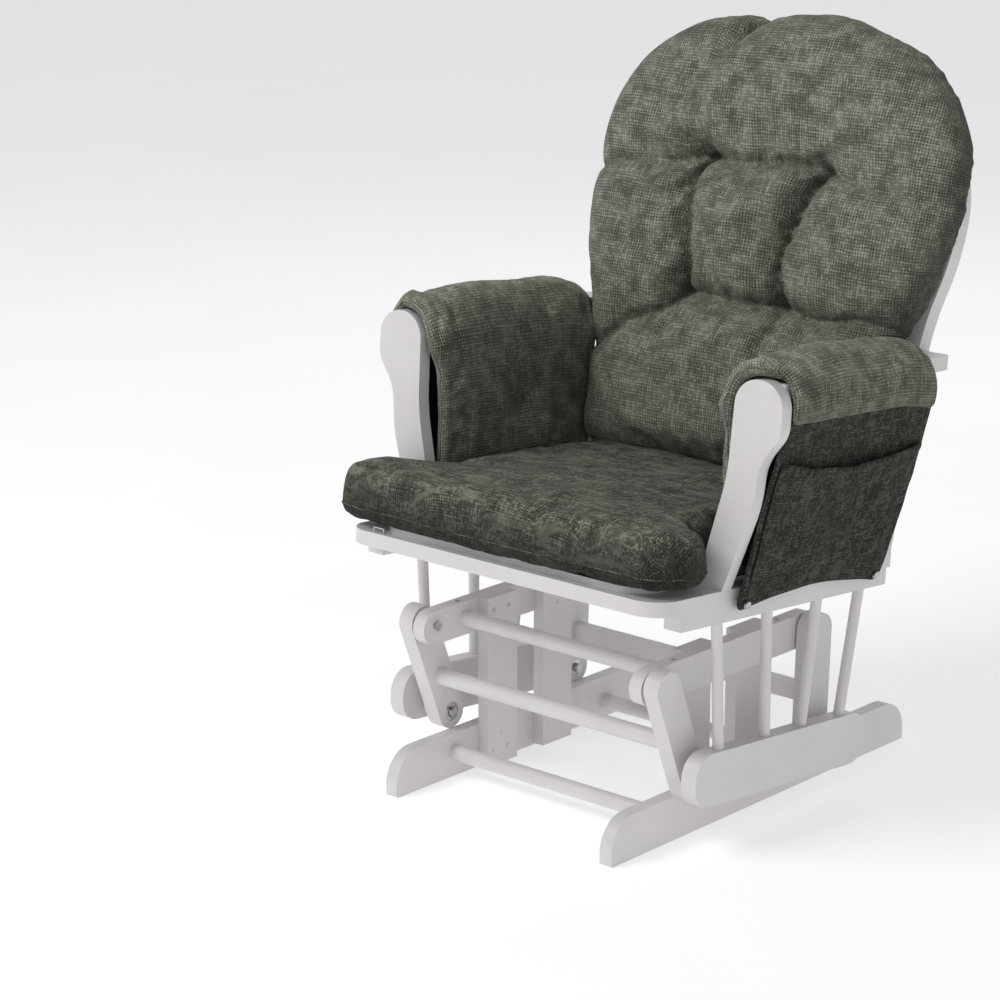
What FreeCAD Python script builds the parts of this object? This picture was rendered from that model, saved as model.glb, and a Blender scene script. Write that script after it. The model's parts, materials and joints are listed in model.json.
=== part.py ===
"""Glider nursery chair: white wooden base, two pairs of swing arms, and a seat with cushions.

Row frame: +Z up, the sitter faces -Y, +X is the sitter's left. The origin is on the floor, under
the middle of the chair. Everything that glides is drawn in the seat frame, which leans back.
"""
import FreeCAD
import Part
import math
import os
from FreeCAD import Placement, Rotation, Vector

DIMENSIONS = {
    # base
    "base_stock": 20, "post_stock": 18, "base_half": 200,
    "runner_front": -344.5, "runner_rear": 313, "runner_rise": 62, "runner_round": 46,
    "top_rail_front": -288, "top_rail_rear": 94, "top_rail_low": 201, "top_rail_high": 249,
    "post_width": 62, "post_low": 2, "front_post_at": -177, "rear_post_at": -59,
    "stretcher_radius": 11, "low_stretcher_at": -226, "low_stretcher_up": 34,
    "back_stretcher_at": 102, "back_stretcher_up": 24, "top_stretcher_at": -204, "top_stretcher_up": 225,
    "screw_head": 4, "screw_shank": 2.2, "screw_length": 31, "screw_head_depth": 1.6,
    "cap_hole_radius": 4, "cap_hole_depth": 12,
    # linkage: pivots front top, front low, rear low, rear top
    "front_top_at": -263, "front_top_up": 228, "front_low_at": -207, "front_low_up": 84,
    "rear_low_at": 63, "rear_low_up": 80, "rear_top_at": 69, "rear_top_up": 228,
    "arm_stock": 24, "arm_gap": 3, "arm_radius": 24,
    "arm_dowel_radius": 12, "arm_dowel_at": -230, "arm_dowel_up": 142,
    "crossbar_deep": 18, "crossbar_tall": 24, "crossbar_at": 65, "crossbar_up": 136,
    "bolt_radius": 4, "bolt_play": 0.05, "bolt_head": 7, "bolt_head_tall": 5.5,
    "bearing_radius": 11, "bearing_deep": 7, "open_bearing_radius": 14, "open_bore_radius": 7.2,
    "nut_pocket_radius": 8.5, "nut_pocket_floor": 4, "nut_tall": 6.5, "washer_radius": 9,
    "low_bore_deep": 17,
    # seat frame, measured from the top front edge of the seat board
    "seat_lean": 5.07, "seat_front": -346, "seat_top": 371.5,
    "board_half": 272, "board_deep": 516, "board_stock": 20, "board_corner": 40,
    "front_board_deep": 80, "side_board_wide": 60, "rear_board_deep": 70,
    "side_rail_wide": 27, "side_rail_tall": 23, "side_rail_front": 50, "side_rail_rear": 503,
    "cross_rail_wide": 22, "cross_front_at": 150, "cross_rear_at": 440,
    "glide_stock": 24, "glide_inner": 246, "glide_front": 109, "glide_rear": 487,
    "glide_low": -291, "glide_high": -219, "glide_round": 32,
    "spindle_radius": 7.6, "spindle_side": 258, "spindle_blank": 200,
    "spindle_room_front": 60, "spindle_room_wide": 60, "spindle_room_deep": 500,
    "deck_half": 228, "deck_front": 18, "deck_rear": 478, "deck_stock": 8,
    "arm_post_front": 131, "arm_post_stock": 20, "arm_board_low": 256, "arm_board_stock": 20,
    "arm_board_rear": 554, "arm_post_top": 280,
    # back hoop, in its own leaning plane
    "back_lean": 10.5, "back_foot": 510, "hoop_stock": 25, "hoop_wide": 45, "hoop_foot_half": 272,
    "hoop_half": 297, "flare_from": 262, "flare_to": 455, "shoulder_radius": 190, "hoop_top": 690,
    "back_rail_low": 60, "back_rail_tall": 58, "back_rail_stock": 20,
    "slat_wide": 38, "slat_stock": 10, "slat_pitch": 80,
    # soft parts
    "seat_pad_low": 9, "seat_pad_thick": 73, "back_pad_thick": 78, "back_pad_clear": 27,
    "arm_pad_inner": 240, "arm_pad_outer": 354, "arm_pad_low": 281.5, "arm_pad_thick": 21.5,
    "arm_pad_front": 128, "arm_pad_rear": 500, "panel_front": 153, "panel_rear": 469,
    "panel_thick": 22, "panel_low": 12, "flap_thick": 8, "flap_low": -32, "flap_low_side": 284,
    "flap_high_side": 352, "pocket_thick": 4.5, "pocket_low": 5, "pocket_high": 165,
    "pocket_mouth": 16, "pocket_front": 160, "pocket_rear": 463, "snap_radius": 5.5, "snap_thick": 3,
}
ARM_POST_INNER = [(230, 0, 0), (267, 150, 260), (269, 215, 60)]
ARM_POST_OUTER = [(272, 0, 0), (312, 118, 220), (315, 172, 70), (345, 212, 40)]
CAP_HOLES = [-209, 16]
SPINDLE_FEET = [168, 268, 350, 438]
SPINDLE_HEADS = [144, 252, 364, 461]
FRONT_POST_SCREWS = [(-164, 231), (-133, 231), (-150, 48), (-136, 25), (-168, 26)]
REAR_POST_SCREWS = [(-29, 212), (-47, 25), (-17, 26)]

doc = FreeCAD.newDocument("GliderChair")
sheet = doc.addObject("Spreadsheet::Sheet", "Sizes")
for row, (alias, number) in enumerate(DIMENSIONS.items(), start=1):
    sheet.set("A%d" % row, alias)
    sheet.set("B%d" % row, str(number))
    sheet.setAlias("B%d" % row, alias)
doc.recompute()

nodes = {}


def size(alias):
    """One number from the sheet."""
    return float(sheet.get(alias))


def bind(obj, **properties):
    """Tie an object's sizes to expressions over the sheet's cells."""
    for name, expression in properties.items():
        text = str(expression)
        for alias in sorted(DIMENSIONS, key=len, reverse=True):
            text = text.replace("<%s>" % alias, "Sizes." + alias)
        obj.setExpression(name, text)


def keep(obj, label):
    """Register an object as a sub-part: its label becomes the name of its node."""
    obj.Label = label
    nodes[label] = obj
    return obj


# ---------------------------------------------------------------- frames

TURN_X90 = Rotation(Vector(1, 0, 0), 90)
WORLD = Placement()
SEAT = Placement(Vector(0, size("seat_front"), size("seat_top")),
                 Rotation(Vector(1, 0, 0), -size("seat_lean")))
BACK = SEAT.multiply(Placement(Vector(0, size("back_foot"), 0),
                               Rotation(Vector(1, 0, 0), 90 - size("back_lean"))))


def side_plane(frame, start):
    """Outline in the frame's (Y, Z), thickness along its +X from the given place."""
    return frame.multiply(Placement(Vector(start, 0, 0), Rotation(Vector(1, 1, 1), 120)))


def face_plane(frame, rear):
    """Outline in the frame's (X, Z), thickness from the given place towards its -Y."""
    return frame.multiply(Placement(Vector(0, rear, 0), TURN_X90))


def flat_plane(frame, low):
    """Outline in the frame's (X, Y), thickness along its +Z from the given place."""
    return frame.multiply(Placement(Vector(0, 0, low), Rotation()))


def side_start(side, inner, stock):
    """Where a part that stands from inner to inner + stock starts along X on one side."""
    return inner if side > 0 else -inner - stock


# ---------------------------------------------------------------- outlines

def point(u, v):
    return Vector(u, v, 0)


def arc(centre, radius, start, end):
    """An arc about a centre, between two angles in degrees."""
    angles = [math.radians(a) for a in (start, (start + end) / 2, end)]
    return Part.Arc(*[point(centre[0] + radius * math.cos(a), centre[1] + radius * math.sin(a))
                      for a in angles])


def rounded(corners):
    """A closed outline from (u, v, radius) corners: straight runs joined by tangent arcs."""
    count = len(corners)
    ends = []
    arcs = []
    for index, (u, v, radius) in enumerate(corners):
        here = point(u, v)
        before = (point(*corners[index - 1][:2]) - here).normalize()
        after = (point(*corners[(index + 1) % count][:2]) - here).normalize()
        half = math.acos(max(-1, min(1, before.dot(after)))) / 2
        if radius == 0 or half > math.radians(89.9):
            ends.append((here, here))
            arcs.append(None)
            continue
        reach = radius / math.tan(half)
        first = here + before * reach
        last = here + after * reach
        middle = (before + after).normalize()
        crest = here + middle * (radius / math.sin(half) - radius)
        ends.append((first, last))
        arcs.append(Part.Arc(first, crest, last))
    edges = []
    for index in range(count):
        if arcs[index]:
            edges.append(arcs[index])
        start = ends[index][1]
        stop = ends[(index + 1) % count][0]
        if (stop - start).Length > 1e-6:
            edges.append(Part.LineSegment(start, stop))
    return edges


def bar(front, rear, low, high, front_round, rear_round):
    """A long plate seen from the side, with rounded front and rear ends."""
    return rounded([(front, low, front_round), (rear, low, rear_round),
                    (rear, high, rear_round), (front, high, front_round)])


def link(first, last, radius):
    """A plate with round ends about two points."""
    along = (point(*last) - point(*first)).normalize()
    across = point(-along.y, along.x) * radius
    p, q = point(*first), point(*last)
    return [Part.LineSegment(p - across, q - across),
            Part.Arc(q - across, q + along * radius, q + across),
            Part.LineSegment(q + across, p + across),
            Part.Arc(p + across, p - along * radius, p - across)]


def mirrored(corners):
    """The same corners on the other side of X = 0, in the other order."""
    return [(-u, v, r) for u, v, r in reversed(corners)]


def on_side(corners, side):
    return corners if side > 0 else mirrored(corners)


# ---------------------------------------------------------------- solids

def plate(name, outline, thickness, placement):
    """A pad of a closed outline, as a PartDesign body."""
    body = doc.addObject("PartDesign::Body", name + "_body")
    sketch = body.newObject("Sketcher::SketchObject", name + "_outline")
    plane = [f for f in body.Origin.OriginFeatures if f.Role == "XY_Plane"][0]
    sketch.AttachmentSupport = (plane, [""])
    sketch.MapMode = "FlatFace"
    sketch.addGeometry(outline, False)
    pad = body.newObject("PartDesign::Pad", name + "_pad")
    pad.Profile = sketch
    bind(pad, Length=thickness)
    sketch.Visibility = False
    body.Placement = placement
    return body


def block(name, length, width, height, placement):
    """A plain box; its three sizes are expressions."""
    box = doc.addObject("Part::Box", name)
    bind(box, Length=length, Width=width, Height=height)
    box.Placement = placement
    return box


def rod(name, radius, length, start, along, frame=WORLD):
    """A cylinder from a point of a frame along a direction of that frame."""
    cylinder = doc.addObject("Part::Cylinder", name)
    bind(cylinder, Radius=radius, Height=length)
    turn = Rotation(Vector(0, 0, 1), Vector(*along))
    cylinder.Placement = frame.multiply(Placement(Vector(*start), turn))
    return cylinder


def hexagon(name, radius, length, start, along):
    prism = doc.addObject("Part::Prism", name)
    prism.Polygon = 6
    bind(prism, Circumradius=radius, Height=length)
    prism.Placement = Placement(Vector(*start), Rotation(Vector(0, 0, 1), Vector(*along)))
    return prism


def fused(name, members):
    fuse = doc.addObject("Part::MultiFuse", name)
    fuse.Shapes = members
    return fuse


def cut(name, base, tools):
    """A base without its tools; several tools are joined first."""
    tool = tools[0] if len(tools) == 1 else fused(name + "_tools", tools)
    result = doc.addObject("Part::Cut", name)
    result.Base = base
    result.Tool = tool
    return result


def group(label, members):
    """Separate solids that share one node."""
    compound = doc.addObject("Part::Compound", label + "_group")
    compound.Links = members
    return keep(compound, label)


def ring(name, outer, inner, length, start, along):
    return cut(name, rod(name + "_rim", outer, length, start, along),
               [rod(name + "_bore", inner, length, start, along)])


SIDES = [("left", 1), ("right", -1)]
PIVOTS = {name: (size(name + "_at"), size(name + "_up"))
          for name in ("front_top", "front_low", "rear_low", "rear_top")}


# ---------------------------------------------------------------- base

def make_base():
    rail_inner = size("base_half") - size("base_stock")
    post_inner = rail_inner - size("post_stock")
    screws = []
    bolts = []
    nuts = []
    washers = []
    for name, side in SIDES:
        inward = (-side, 0, 0)
        outward = (side, 0, 0)
        side_screws = []
        for number, (y, z) in enumerate(FRONT_POST_SCREWS + REAR_POST_SCREWS):
            start = (side * post_inner, y, z)
            tag = "%s_%d" % (name, number)
            head = rod("screw_head_" + tag, "<screw_head>", "<screw_head_depth>", start, outward)
            shank = rod("screw_shank_" + tag, "<screw_shank>", "<screw_length>", start, outward)
            side_screws.append(fused("screw_%s_%d" % (name, number), [head, shank]))
        screws += side_screws
        make_posts(name, side, post_inner, side_screws)
        make_runner(name, side, rail_inner, side_screws)
        make_top_rail(name, side, rail_inner, side_screws)
        for where in ("front_top", "rear_top"):
            y, z = PIVOTS[where]
            tag = "%s_%s" % (where, name)
            head = hexagon("bolt_head_" + tag, "<bolt_head>", "<bolt_head_tall>",
                           (side * rail_inner, y, z), inward)
            shank = rod("bolt_shank_" + tag, "<bolt_radius>", "<base_stock> + <arm_gap> + <arm_stock> - 6",
                        (side * rail_inner, y, z), outward)
            bolts.append(fused("bolt_" + tag, [head, shank]))
            arm_inner = size("base_half") + size("arm_gap")
            nut_start = (side * (arm_inner + size("bearing_deep") + 1), y, z)
            body = hexagon("nut_body_" + tag, "<bolt_head>", "<nut_tall>", nut_start, outward)
            bore = rod("nut_bore_" + tag, "<bolt_radius> + <bolt_play>", "<nut_tall>", nut_start, outward)
            nuts.append(cut("nut_" + tag, body, [bore]))
            washers.append(ring("washer_" + tag, "<washer_radius>", "<bolt_radius> + <bolt_play>",
                                "<arm_gap> - 0.4", (side * (size("base_half") + 0.2), y, z), outward))
    group("post_screws", screws)
    group("upper_pivot_bolts", bolts)
    group("upper_pivot_nuts", nuts)
    group("upper_pivot_washers", washers)
    for label, where in (("lower_front_stretcher", "low_stretcher"),
                         ("lower_rear_stretcher", "back_stretcher"),
                         ("upper_stretcher", "top_stretcher")):
        start = (-rail_inner, size(where + "_at"), size(where + "_up"))
        keep(rod(label + "_rod", "<stretcher_radius>", "2 * (<base_half> - <base_stock>)", start, (1, 0, 0)),
             label)


def make_posts(name, side, post_inner, screws):
    for label, where in (("front_post", "front_post_at"), ("rear_post", "rear_post_at")):
        corner = Vector(side_start(side, post_inner, size("post_stock")), size(where), size("post_low"))
        post = block("%s_%s_block" % (label, name), "<post_stock>", "<post_width>",
                     "<top_rail_high> - <post_low>", Placement(corner, Rotation()))
        keep(cut("%s_%s_cut" % (label, name), post, screws), "%s_%s" % (label, name))


def make_runner(name, side, inner, screws):
    outline = rounded([(size("runner_front"), 0, 2), (size("runner_rear"), 0, 2),
                       (size("runner_rear"), size("runner_rise"), size("runner_round")),
                       (size("runner_front"), size("runner_rise"), size("runner_round"))])
    runner = plate("runner_" + name, outline, "<base_stock>",
                   side_plane(WORLD, side_start(side, inner, size("base_stock"))))
    keep(cut("runner_%s_cut" % name, runner, screws), "runner_" + name)


def make_top_rail(name, side, inner, screws):
    low, high = size("top_rail_low"), size("top_rail_high")
    end = (high - low) / 2 - 0.01
    rail = plate("top_rail_" + name, bar(size("top_rail_front"), size("top_rail_rear"), low, high, end, end),
                 "<base_stock>", side_plane(WORLD, side_start(side, inner, size("base_stock"))))
    tools = list(screws)
    for where in ("front_top", "rear_top"):
        y, z = PIVOTS[where]
        tools.append(rod("rail_bore_%s_%s" % (where, name), "<bolt_radius> + <bolt_play>", "<base_stock>",
                         (side * inner, y, z), (side, 0, 0)))
    for number, y in enumerate(CAP_HOLES):
        tools.append(rod("cap_hole_%s_%d" % (name, number), "<cap_hole_radius>", "<cap_hole_depth>",
                         (side * (inner + size("base_stock") / 2), y, high), (0, 0, -1)))
    keep(cut("top_rail_%s_cut" % name, rail, tools), "top_rail_" + name)


# ---------------------------------------------------------------- swing arms

def make_arm(label, side, top, low, bearings, low_open):
    """One swing arm: bearings in pockets of its inner face, a nut pocket behind the upper one."""
    inner = size("base_half") + size("arm_gap")
    outward = (side, 0, 0)
    arm = plate(label, link(PIVOTS[top], PIVOTS[low], size("arm_radius")), "<arm_stock>",
                side_plane(WORLD, side_start(side, inner, size("arm_stock"))))
    rim = {top: "<bearing_radius>", low: "<open_bearing_radius>" if low_open else "<bearing_radius>"}
    play = "<bolt_radius> + <bolt_play>"
    bore = {top: play, low: "<open_bore_radius>" if low_open else play}
    tools = []
    for where in (top, low):
        y, z = PIVOTS[where]
        start = (side * inner, y, z)
        tag = "%s_%s" % (label, where)
        tools.append(rod("pocket_" + tag, rim[where], "<bearing_deep>", start, outward))
        bearings.append(ring("bearing_" + tag, rim[where], bore[where], "<bearing_deep>", start, outward))
    y, z = PIVOTS[top]
    tools.append(rod("nut_pocket_" + label, "<nut_pocket_radius>", "<arm_stock> - <nut_pocket_floor>",
                     (side * inner, y, z), outward))
    y, z = PIVOTS[low]
    through = "<open_bore_radius>" if low_open else "<bolt_radius> + 0.6"
    tools.append(rod("through_" + label, through, "<arm_stock>", (side * inner, y, z), outward))
    return arm, tools


def make_front_swing():
    bearings = []
    for name, side in SIDES:
        label = "front_arm_" + name
        arm, tools = make_arm(label, side, "front_top", "front_low", bearings, True)
        keep(cut(label + "_cut", arm, tools), label)
    group("front_arm_bearings", bearings)
    inner = size("base_half") + size("arm_gap")
    start = (-inner, size("arm_dowel_at"), size("arm_dowel_up"))
    keep(rod("front_arm_dowel_rod", "<arm_dowel_radius>", "2 * (<base_half> + <arm_gap>)", start, (1, 0, 0)),
         "front_arm_dowel")


def make_rear_swing():
    bearings = []
    screws = []
    inner = size("base_half") + size("arm_gap")
    for name, side in SIDES:
        label = "rear_arm_" + name
        arm, tools = make_arm(label, side, "rear_top", "rear_low", bearings, False)
        start = (side * (inner + size("arm_stock") / 2), size("crossbar_at") - size("arm_radius") - 0.5,
                 size("crossbar_up"))
        screw = rod("crossbar_screw_" + name, "<screw_head>", "14", start, (0, 1, 0))
        tools.append(screw)
        screws.append(screw)
        keep(cut(label + "_cut", arm, tools), label)
    group("crossbar_screws", screws)
    group("rear_arm_bearings", bearings)
    corner = Vector(-inner, size("crossbar_at") - size("crossbar_deep") / 2,
                    size("crossbar_up") - size("crossbar_tall") / 2)
    keep(block("rear_arm_crossbar_block", "2 * (<base_half> + <arm_gap>)", "<crossbar_deep>",
               "<crossbar_tall>", Placement(corner, Rotation())), "rear_arm_crossbar")


# ---------------------------------------------------------------- seat frame

def make_glide_side(name, side):
    """Glide rail, its pivot bolts and spacers, and the four spindles that carry the seat."""
    inner = size("glide_inner")
    low, high = size("glide_low"), size("glide_high")
    turn = size("glide_round")
    rail = plate("glide_rail_" + name,
                 bar(size("glide_front"), size("glide_rear"), low, high, turn, turn), "<glide_stock>",
                 side_plane(SEAT, side_start(side, inner, size("glide_stock"))))
    outward = (side, 0, 0)
    arm_inner = size("base_half") + size("arm_gap")
    arm_outer = arm_inner + size("arm_stock")
    bolts = []
    spacers = []
    bores = []
    for where in ("front_low", "rear_low"):
        y, z = PIVOTS[where]
        tag = "%s_%s" % (where, name)
        head_start = (side * (arm_inner - 0.5), y, z)
        head = hexagon("low_bolt_head_" + tag, "<bolt_head>", "<bolt_head_tall>", head_start, (-side, 0, 0))
        shank = rod("low_bolt_shank_" + tag, "<bolt_radius>", "<glide_inner> - <base_half> - <arm_gap> + 16",
                    head_start, outward)
        bolts.append(fused("low_bolt_" + tag, [head, shank]))
        bores.append(rod("low_bore_" + tag, "<bolt_radius> + <bolt_play>", "<low_bore_deep>",
                         (side * inner, y, z), outward))
        spacers.append(ring("spacer_" + tag, "<washer_radius> + 3", "<bolt_radius> + <bolt_play>",
                            "<glide_inner> - <base_half> - <arm_gap> - <arm_stock> - 0.6",
                            (side * (arm_outer + 0.3), y, z), outward))
    keep(cut("glide_rail_%s_cut" % name, rail, bores), "glide_rail_" + name)
    spindles = []
    rail_under = -size("board_stock") - size("side_rail_tall")
    for number, (foot, top) in enumerate(zip(SPINDLE_FEET, SPINDLE_HEADS)):
        along = Vector(0, top - foot, rail_under - high).normalize()
        start = Vector(side * size("spindle_side"), foot, high) - along * 8
        whole = rod("spindle_long_%s_%d" % (name, number), "<spindle_radius>", "<spindle_blank>", start,
                    along, SEAT)
        corner = Vector(side * size("spindle_side") - size("spindle_room_wide") / 2,
                        size("spindle_room_front"), high)
        room = block("spindle_room_%s_%d" % (name, number), "<spindle_room_wide>", "<spindle_room_deep>",
                     "-<board_stock> - <side_rail_tall> - <glide_high>",
                     SEAT.multiply(Placement(corner, Rotation())))
        spindle = doc.addObject("Part::Common", "spindle_%s_%d" % (name, number))
        spindle.Base = whole
        spindle.Tool = room
        spindles.append(spindle)
    group("spindles_" + name, spindles)
    return bolts, spacers


def make_seat_frame():
    bolts = []
    spacers = []
    half = size("board_half")
    stock = size("board_stock")
    for name, side in SIDES:
        side_bolts, side_spacers = make_glide_side(name, side)
        bolts += side_bolts
        spacers += side_spacers
        rail_start = side_start(side, half - size("side_rail_wide"), size("side_rail_wide"))
        rail_low = -stock - size("side_rail_tall")
        keep(plate("seat_side_rail_%s" % name,
                   bar(size("side_rail_front"), size("side_rail_rear"), rail_low, -stock, 1.5, 1.5),
                   "<side_rail_wide>", side_plane(SEAT, rail_start)), "seat_side_rail_" + name)
        board_inner = half - size("side_board_wide")
        edge = [(board_inner, size("front_board_deep"), 0), (half, size("front_board_deep"), 0),
                (half, size("board_deep"), 6), (board_inner, size("board_deep"), 0)]
        keep(plate("seat_side_board_" + name, rounded(on_side(edge, side)), "<board_stock>",
                   flat_plane(SEAT, -stock)), "seat_side_board_" + name)
    group("lower_pivot_bolts", bolts)
    group("lower_pivot_spacers", spacers)
    front = [(-half, 0, size("board_corner")), (half, 0, size("board_corner")),
             (half, size("front_board_deep"), 0), (-half, size("front_board_deep"), 0)]
    keep(plate("seat_front_board", rounded(front), "<board_stock>", flat_plane(SEAT, -stock)),
         "seat_front_board")
    inner = half - size("side_board_wide")
    rear_from = size("board_deep") - size("rear_board_deep")
    keep(block("seat_rear_board_block", "2 * (<board_half> - <side_board_wide>)", "<rear_board_deep>",
               "<board_stock>", SEAT.multiply(Placement(Vector(-inner, rear_from, -stock), Rotation()))),
         "seat_rear_board")
    rail_inner = half - size("side_rail_wide")
    for label, where in (("cross_rail_front", "cross_front_at"), ("cross_rail_rear", "cross_rear_at")):
        corner = Vector(-rail_inner, size(where), -stock - size("side_rail_tall"))
        keep(block(label + "_block", "2 * (<board_half> - <side_rail_wide>)", "<cross_rail_wide>",
                   "<side_rail_tall>", SEAT.multiply(Placement(corner, Rotation()))), label)
    deck = [(-size("deck_half"), size("deck_front"), 40), (size("deck_half"), size("deck_front"), 40),
            (size("deck_half"), size("deck_rear"), 8), (-size("deck_half"), size("deck_rear"), 8)]
    keep(plate("seat_deck", rounded(deck), "<deck_stock>", flat_plane(SEAT, 0)), "seat_deck")
    clip = [rod("clip_bridge", "1.2", "18", (-224, 8, 6), (1, 0, 0), SEAT),
            rod("clip_leg_a", "1.2", "6", (-224, 8, 0), (0, 0, 1), SEAT),
            rod("clip_leg_b", "1.2", "6", (-206, 8, 0), (0, 0, 1), SEAT)]
    keep(fused("cushion_clip_wire", clip), "cushion_clip")


def make_arms():
    for name, side in SIDES:
        head_top = size("arm_post_top")
        corners = (ARM_POST_OUTER + [(345, head_top, 36), (271, head_top, 36)] + ARM_POST_INNER[::-1])
        keep(plate("arm_post_" + name, rounded(on_side(corners, side)), "<arm_post_stock>",
                   face_plane(SEAT, size("arm_post_front") + size("arm_post_stock"))), "arm_post_" + name)
        front = size("arm_post_front") + size("arm_post_stock")
        rear = size("arm_board_rear")
        board = [(284, front, 0), (332, front, 0), (312, rear, 8), (272.7, rear, 2)]
        keep(plate("arm_board_" + name, rounded(on_side(board, side)), "<arm_board_stock>",
                   flat_plane(SEAT, size("arm_board_low"))), "arm_board_" + name)


# ---------------------------------------------------------------- back

def crown_circle():
    """Height of the crown arc's centre over the flare's end, and the arc's outer radius."""
    rise = size("hoop_top") - size("flare_to")
    reach = size("hoop_half") - size("shoulder_radius")
    extra = rise - size("shoulder_radius")
    drop = (reach ** 2 - extra ** 2) / (2 * extra)
    return size("flare_to") - drop, rise + drop, math.degrees(math.atan2(drop, reach))


def stile_outline(side):
    """A stile: straight foot, then an S-shaped flare out to the hoop's widest place."""
    foot, widest = size("hoop_foot_half"), size("hoop_half")
    start, stop, wide = size("flare_from"), size("flare_to"), size("hoop_wide")
    shift, climb = widest - foot, stop - start
    radius = (climb ** 2 + shift ** 2) / (4 * shift)
    bend = math.degrees(math.asin(climb / 2 / radius))
    lower, upper = (foot + radius, start), (widest - radius, stop)
    edges = [Part.LineSegment(point(foot, -6), point(foot, start)),
             arc(lower, radius, 180, 180 - bend), arc(upper, radius, -bend, 0),
             Part.LineSegment(point(widest, stop), point(widest - wide, stop)),
             arc(upper, radius - wide, 0, -bend), arc(lower, radius + wide, 180 - bend, 180),
             Part.LineSegment(point(foot - wide, start), point(foot - wide, -6)),
             Part.LineSegment(point(foot - wide, -6), point(foot, -6))]
    if side < 0:
        for edge in edges:
            edge.mirror(Vector(0, 0, 0), Vector(0, 1, 0))
    return edges


def crown_outline():
    height, radius, turn = crown_circle()
    stop, wide, bend = size("flare_to"), size("hoop_wide"), size("shoulder_radius")
    widest, reach = size("hoop_half"), size("hoop_half") - size("shoulder_radius")
    return [arc((reach, stop), bend, 0, turn), arc((0, height), radius, turn, 180 - turn),
            arc((-reach, stop), bend, 180 - turn, 180),
            Part.LineSegment(point(-widest, stop), point(wide - widest, stop)),
            arc((-reach, stop), bend - wide, 180, 180 - turn),
            arc((0, height), radius - wide, 180 - turn, turn),
            arc((reach, stop), bend - wide, turn, 0),
            Part.LineSegment(point(widest - wide, stop), point(widest, stop))]


def make_back():
    for name, side in SIDES:
        stile = plate("back_stile_" + name, stile_outline(side), "<hoop_stock>", BACK)
        keep(cut("back_stile_%s_cut" % name, stile, [nodes["seat_side_board_" + name]]), "back_stile_" + name)
    keep(plate("back_crown", crown_outline(), "<hoop_stock>", BACK), "back_crown")
    foot = size("hoop_foot_half") - size("hoop_wide")
    low, tall = size("back_rail_low"), size("back_rail_tall")
    rail = [(-foot, low, 0), (foot, low, 0), (foot, low + tall, 0), (-foot, low + tall, 0)]
    inset = (size("hoop_stock") - size("back_rail_stock")) / 2
    keep(plate("back_lower_rail", rounded(rail), "<back_rail_stock>", flat_plane(BACK, inset)),
         "back_lower_rail")
    height, radius, _ = crown_circle()
    slats = []
    inset = (size("hoop_stock") - size("slat_stock")) / 2
    for number in range(-2, 3):
        left = number * size("slat_pitch") - size("slat_wide") / 2
        right = left + size("slat_wide")
        inner = radius - size("hoop_wide")
        angles = [math.degrees(math.acos(x / inner)) for x in (right, left)]
        tops = [height + math.sqrt(inner ** 2 - x ** 2) for x in (right, left)]
        outline = [Part.LineSegment(point(left, low + tall), point(right, low + tall)),
                   Part.LineSegment(point(right, low + tall), point(right, tops[0])),
                   arc((0, height), inner, *angles),
                   Part.LineSegment(point(left, tops[1]), point(left, low + tall))]
        slats.append(plate("back_slat_%d" % (number + 2), outline, "<slat_stock>", flat_plane(BACK, inset)))
    group("back_slats", slats)


# ---------------------------------------------------------------- soft parts

def flap_side(w):
    """How far out the flap's outer face is at a height over the seat board."""
    slope = (size("flap_high_side") - size("flap_low_side")) / (size("arm_pad_low") - size("flap_low"))
    return size("flap_low_side") + slope * (w - size("flap_low"))


def make_soft_parts():
    seat = [(-290, 22, 60), (290, 22, 60), (290, 124, 20), (226, 124, 3), (226, 476, 25),
            (-226, 476, 25), (-226, 124, 3), (-290, 124, 20)]
    keep(plate("seat_cushion", rounded(seat), "<seat_pad_thick>", flat_plane(SEAT, size("seat_pad_low"))),
         "seat_cushion")
    half = [(212, 90, 45), (232, 306, 40), (296, 356, 60), (308, 470, 200), (304, 612, 120), (176, 714, 110),
            (56, 716, 40)]
    back = half + [(0, 690, 40)] + mirrored(half)
    keep(plate("back_cushion", rounded(back), "<back_pad_thick>", flat_plane(BACK, size("back_pad_clear"))),
         "back_cushion")
    snaps = []
    for name, side in SIDES:
        snaps += make_arm_pad(name, side)
    group("pad_snaps", snaps)


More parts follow.
